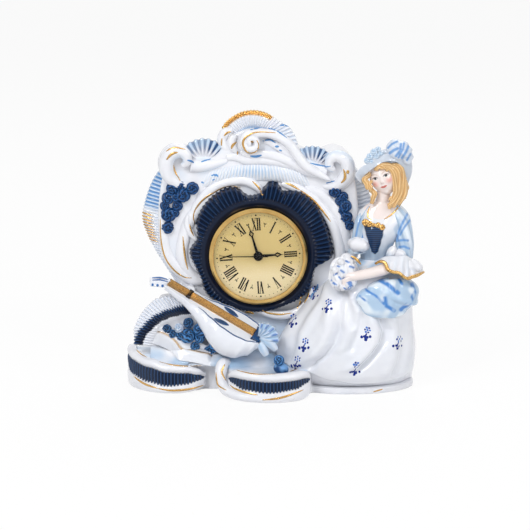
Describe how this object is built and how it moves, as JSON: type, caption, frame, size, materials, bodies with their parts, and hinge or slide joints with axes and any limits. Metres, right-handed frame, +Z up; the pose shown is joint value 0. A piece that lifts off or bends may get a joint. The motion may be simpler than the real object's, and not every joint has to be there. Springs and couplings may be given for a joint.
{
  "type": "figural mantel clock",
  "caption": "Rococo porcelain mantel clock: scrolled case with cobalt dial surround, seated lady, lying mandolin and a push-in quartz insert with a working gear train.",
  "frame": {"origin": "on the flat underside of the plinth, under the middle of the clock's width", "axes": "+Z up, -Y out of the dial towards the viewer, +X to the viewer's right, where the lady sits"},
  "size_m": [0.2163, 0.096, 0.2025],
  "materials": {
    "porcelain_white": "gloss",
    "porcelain_cobalt": "gloss",
    "porcelain_pale_blue": "gloss",
    "porcelain_hair": "gloss",
    "bezel_brass": "polished",
    "lens_glass": "polished",
    "dial_gold": "satin",
    "hand_black": "satin",
    "cup_plastic": "matte",
    "ring_rubber": "matte",
    "gear_plastic": "satin",
    "steel": "satin",
    "cell_steel": "polished",
    "winding_copper": "satin",
    "board_green": "satin"
  },
  "bodies": {
    "porcelain": {"base_plinth": "porcelain_white", "left_foot_scroll": "porcelain_white", "front_foot_scroll": "porcelain_white", "case_body": "porcelain_white", "case_sleeve": "porcelain_white", "case_back": "porcelain_white", "dial_surround": "porcelain_cobalt", "frame_scrolls": "porcelain_white", "crest_shell": "porcelain_white", "crest_scroll": "porcelain_white", "corner_volutes": "porcelain_white", "top_shells": "porcelain_cobalt", "side_shells": "porcelain_white", "rose_clusters": "porcelain_cobalt", "lower_shell": "porcelain_white", "ground_roses": "porcelain_cobalt", "song_sheet": "porcelain_white", "mandolin_bowl": "porcelain_white", "mandolin_neck": "porcelain_white", "ribbon_bow": "porcelain_pale_blue", "skirt": "porcelain_white", "overskirt": "porcelain_pale_blue", "bodice": "porcelain_pale_blue", "head": "porcelain_white", "hair": "porcelain_hair", "hat": "porcelain_white", "left_sleeve": "porcelain_pale_blue", "left_forearm": "porcelain_white", "left_cuff": "porcelain_white", "right_sleeve": "porcelain_pale_blue", "handkerchief": "porcelain_white", "shoe": "porcelain_cobalt"},
    "insert": {"insert_cup": "cup_plastic", "retaining_ring": "ring_rubber", "dial_plate": "dial_gold", "rehaut_ring": "dial_gold", "lens": "lens_glass", "bezel": "bezel_brass", "train_bridge": "cup_plastic", "rear_cover": "cup_plastic", "cover_screws": "steel", "button_cell": "cell_steel", "cell_contacts": "steel", "circuit_board": "board_green", "quartz_can": "steel", "stator": "steel", "coil_bobbin": "gear_plastic", "coil_winding": "winding_copper"},
    "rotor": {"rotor": "gear_plastic"},
    "step": {"step_wheel": "gear_plastic"},
    "seconds": {"seconds_wheel": "gear_plastic", "second_hand": "hand_black"},
    "third": {"third_wheel": "gear_plastic"},
    "minutes": {"centre_wheel": "gear_plastic", "minute_hand": "hand_black"},
    "motion": {"minute_wheel": "gear_plastic"},
    "hours": {"hour_wheel": "gear_plastic", "hour_hand": "hand_black"},
    "setting": {"setting_knob": "cup_plastic"},
    "hatch": {"battery_hatch": "cup_plastic"}
  },
  "joints": [
    {"name": "insert_pull", "type": "slide", "parent": "porcelain", "child": "insert", "axis": [0, -1, 0], "range_m": [0, 0.045]},
    {"name": "seconds_spin", "type": "hinge", "parent": "insert", "child": "seconds", "pos_m": [-0.012, -0.001, 0.0975], "axis": [0, 1, 0], "continuous": true},
    {"name": "step_spin", "type": "hinge", "parent": "insert", "child": "step", "pos_m": [-0.00485, -0.001, 0.08669], "axis": [0, 1, 0], "continuous": true},
    {"name": "rotor_spin", "type": "hinge", "parent": "insert", "child": "rotor", "pos_m": [0.00478, -0.001, 0.09088], "axis": [0, 1, 0], "continuous": true},
    {"name": "third_spin", "type": "hinge", "parent": "insert", "child": "third", "pos_m": [-0.02369, -0.001, 0.09242], "axis": [0, 1, 0], "continuous": true},
    {"name": "minute_spin", "type": "hinge", "parent": "insert", "child": "minutes", "pos_m": [-0.012, -0.001, 0.0975], "axis": [0, 1, 0], "continuous": true},
    {"name": "motion_spin", "type": "hinge", "parent": "insert", "child": "motion", "pos_m": [-0.00686, -0.001, 0.10781], "axis": [0, 1, 0], "continuous": true},
    {"name": "hour_spin", "type": "hinge", "parent": "insert", "child": "hours", "pos_m": [-0.012, -0.001, 0.0975], "axis": [0, 1, 0], "continuous": true},
    {"name": "setting_spin", "type": "hinge", "parent": "insert", "child": "setting", "pos_m": [-0.00172, -0.001, 0.11812], "axis": [0, 1, 0], "continuous": true},
    {"name": "hatch_lift", "type": "slide", "parent": "insert", "child": "hatch", "axis": [0, 1, 0], "range_m": [0, 0.012]}
  ],
  "couplings": [
    {"joint": "step_spin", "follows": "seconds_spin", "ratio": -5},
    {"joint": "rotor_spin", "follows": "seconds_spin", "ratio": 30},
    {"joint": "third_spin", "follows": "seconds_spin", "ratio": -0.13333},
    {"joint": "minute_spin", "follows": "seconds_spin", "ratio": 0.016667},
    {"joint": "motion_spin", "follows": "seconds_spin", "ratio": -0.0055556},
    {"joint": "hour_spin", "follows": "seconds_spin", "ratio": 0.0013889},
    {"joint": "setting_spin", "follows": "seconds_spin", "ratio": 0.016667}
  ]
}
